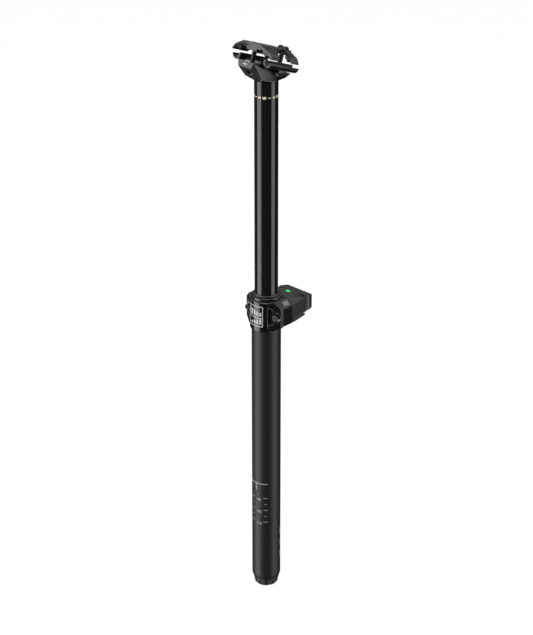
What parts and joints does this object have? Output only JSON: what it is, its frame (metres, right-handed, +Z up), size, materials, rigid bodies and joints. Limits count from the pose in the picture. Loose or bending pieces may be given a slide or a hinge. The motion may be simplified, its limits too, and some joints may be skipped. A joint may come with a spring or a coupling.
{
  "type": "wireless dropper seatpost",
  "caption": "Telescoping bicycle seat post with a motor-driven valve, clip-on battery, function button and a two-bolt rail clamp on its head.",
  "frame": {"origin": "post axis at the collar's lower edge, which is the insertion limit", "axes": "+Z up the post towards the rail clamp, +X forward to the battery, +Y to the rider's left"},
  "size_m": [0.0841, 0.0566, 0.6382],
  "materials": {
    "bead_blasted_anodised_aluminium": "matt",
    "gloss_anodised_aluminium": "gloss",
    "polished_black_aluminium": "gloss",
    "plain_aluminium": "satin",
    "matt_black_plastic": "matt",
    "grey_button_plastic": "satin",
    "white_gear_plastic": "matt",
    "bearing_plastic": "matt",
    "green_circuit_board": "satin",
    "clear_green_lens": "clear",
    "black_rubber": "matt",
    "black_steel": "satin",
    "bright_steel": "satin",
    "brass_fittings": "satin",
    "battery_wrap": "satin"
  },
  "bodies": {
    "lower_post": {"lower_tube": "bead_blasted_anodised_aluminium", "air_cylinder": "plain_aluminium", "foot_plug": "plain_aluminium", "foot_seals": "black_rubber", "bottom_bumper": "black_rubber", "guide_rod": "bright_steel", "inflation_valve": "brass_fittings", "valve_cap": "matt_black_plastic", "end_cap": "matt_black_plastic", "collar": "polished_black_aluminium", "collar_ring": "polished_black_aluminium", "wiper_seal": "black_rubber", "shaft_seal": "black_rubber", "upper_bushing": "bearing_plastic", "valve_seat": "brass_fittings", "valve_seat_seals": "black_rubber", "valve_spring": "bright_steel", "actuator_housing": "matt_black_plastic", "housing_cover": "matt_black_plastic", "cover_gasket": "black_rubber", "cover_screws": "bright_steel", "housing_bolts": "black_steel", "thread_inserts": "plain_aluminium", "motor": "bright_steel", "gear_plate": "matt_black_plastic", "gear_axle": "bright_steel", "circuit_board": "green_circuit_board", "button_switch": "bearing_plastic", "contact_pins": "brass_fittings", "light_lens": "clear_green_lens", "latch_pins": "bright_steel"},
    "core_pin": {"valve_pin": "bright_steel"},
    "pinion": {"motor_pinion": "brass_fittings"},
    "cam": {"cam_gear": "white_gear_plastic"},
    "spool": {"valve_spool": "bright_steel", "spool_seals": "black_rubber"},
    "button": {"function_button": "grey_button_plastic"},
    "battery": {"battery_case": "matt_black_plastic", "battery_floor": "matt_black_plastic", "battery_cell": "battery_wrap", "battery_contacts": "brass_fittings"},
    "latch": {"battery_latch": "matt_black_plastic"},
    "upper_post": {"stanchion": "gloss_anodised_aluminium", "head": "polished_black_aluminium", "main_piston": "plain_aluminium", "piston_seal": "black_rubber", "glide_ring": "bearing_plastic", "guide_bush": "white_gear_plastic"},
    "cradle": {"lower_cradle": "polished_black_aluminium"},
    "clamp": {"upper_clamp": "polished_black_aluminium", "barrel_nuts": "black_steel"},
    "washer_rear": {"rear_washer": "black_steel"},
    "washer_front": {"front_washer": "black_steel"},
    "bolt_rear": {"rear_clamp_bolt": "black_steel"},
    "bolt_front": {"front_clamp_bolt": "black_steel"}
  },
  "joints": [
    {"name": "stanchion_slide", "type": "slide", "parent": "lower_post", "child": "upper_post", "axis": [0, 0, -1], "range_m": [0, 0.225]},
    {"name": "clamp_tilt", "type": "hinge", "parent": "upper_post", "child": "cradle", "pos_m": [0.00133, 0, 0.30182], "axis": [0, 1, 0], "range_deg": [-5, 5]},
    {"name": "rail_clamp", "type": "slide", "parent": "cradle", "child": "clamp", "axis": [0.3453, 0, 0.9385], "range_m": [-0.003, 0.003]},
    {"name": "rear_bolt_lean", "type": "hinge", "parent": "upper_post", "child": "washer_rear", "pos_m": [-0.02206, 0, 0.29358], "axis": [0, 1, 0], "range_deg": [-2, 2]},
    {"name": "front_bolt_lean", "type": "hinge", "parent": "upper_post", "child": "washer_front", "pos_m": [0.01622, 0, 0.28121], "axis": [0, 1, 0], "range_deg": [-2.5, 2.5]},
    {"name": "rear_bolt_turn", "type": "hinge", "parent": "washer_rear", "child": "bolt_rear", "pos_m": [-0.02206, 0, 0.29358], "axis": [0.3453, 0, 0.9385], "range_deg": [-1351, 1351]},
    {"name": "front_bolt_turn", "type": "hinge", "parent": "washer_front", "child": "bolt_front", "pos_m": [0.01622, 0, 0.28121], "axis": [0.3453, 0, 0.9385], "range_deg": [-1351, 1351]},
    {"name": "battery_slide", "type": "slide", "parent": "lower_post", "child": "battery", "axis": [1, 0, 0], "range_m": [0, 0.03]},
    {"name": "latch_pivot", "type": "hinge", "parent": "lower_post", "child": "latch", "pos_m": [0.0176, 0, 0.009], "axis": [0, 1, 0], "range_deg": [0, 26]},
    {"name": "button_press", "type": "slide", "parent": "lower_post", "child": "button", "axis": [0, 0.7071, -0.7071], "range_m": [0, 0.0006], "stiffness_N_per_m": 3000},
    {"name": "cam_turn", "type": "hinge", "parent": "lower_post", "child": "cam", "pos_m": [0.0235, 0, 0.0205], "axis": [0, 0, 1], "range_deg": [0, 102]},
    {"name": "pinion_turn", "type": "hinge", "parent": "lower_post", "child": "pinion", "pos_m": [0.0235, 0.0059, 0.0197], "axis": [0, 0, 1], "range_deg": [-275, 0]},
    {"name": "spool_slide", "type": "slide", "parent": "lower_post", "child": "spool", "axis": [1, 0, 0], "range_m": [0, 0.0012]},
    {"name": "core_pin_press", "type": "slide", "parent": "lower_post", "child": "core_pin", "axis": [0, 0, 1], "range_m": [0, 0.001], "stiffness_N_per_m": 1500}
  ],
  "couplings": [
    {"joint": "rear_bolt_lean", "follows": "clamp_tilt", "ratio": 0.28182},
    {"joint": "front_bolt_lean", "follows": "clamp_tilt", "ratio": 0.37168},
    {"joint": "rear_bolt_turn", "follows": "rail_clamp", "rad_per_m": 7854},
    {"joint": "front_bolt_turn", "follows": "rail_clamp", "rad_per_m": 7854},
    {"joint": "latch_pivot", "follows": "battery_slide", "rad_per_m": 13.96},
    {"joint": "cam_turn", "follows": "spool_slide", "rad_per_m": 1454.4},
    {"joint": "pinion_turn", "follows": "spool_slide", "rad_per_m": -3878.5}
  ]
}
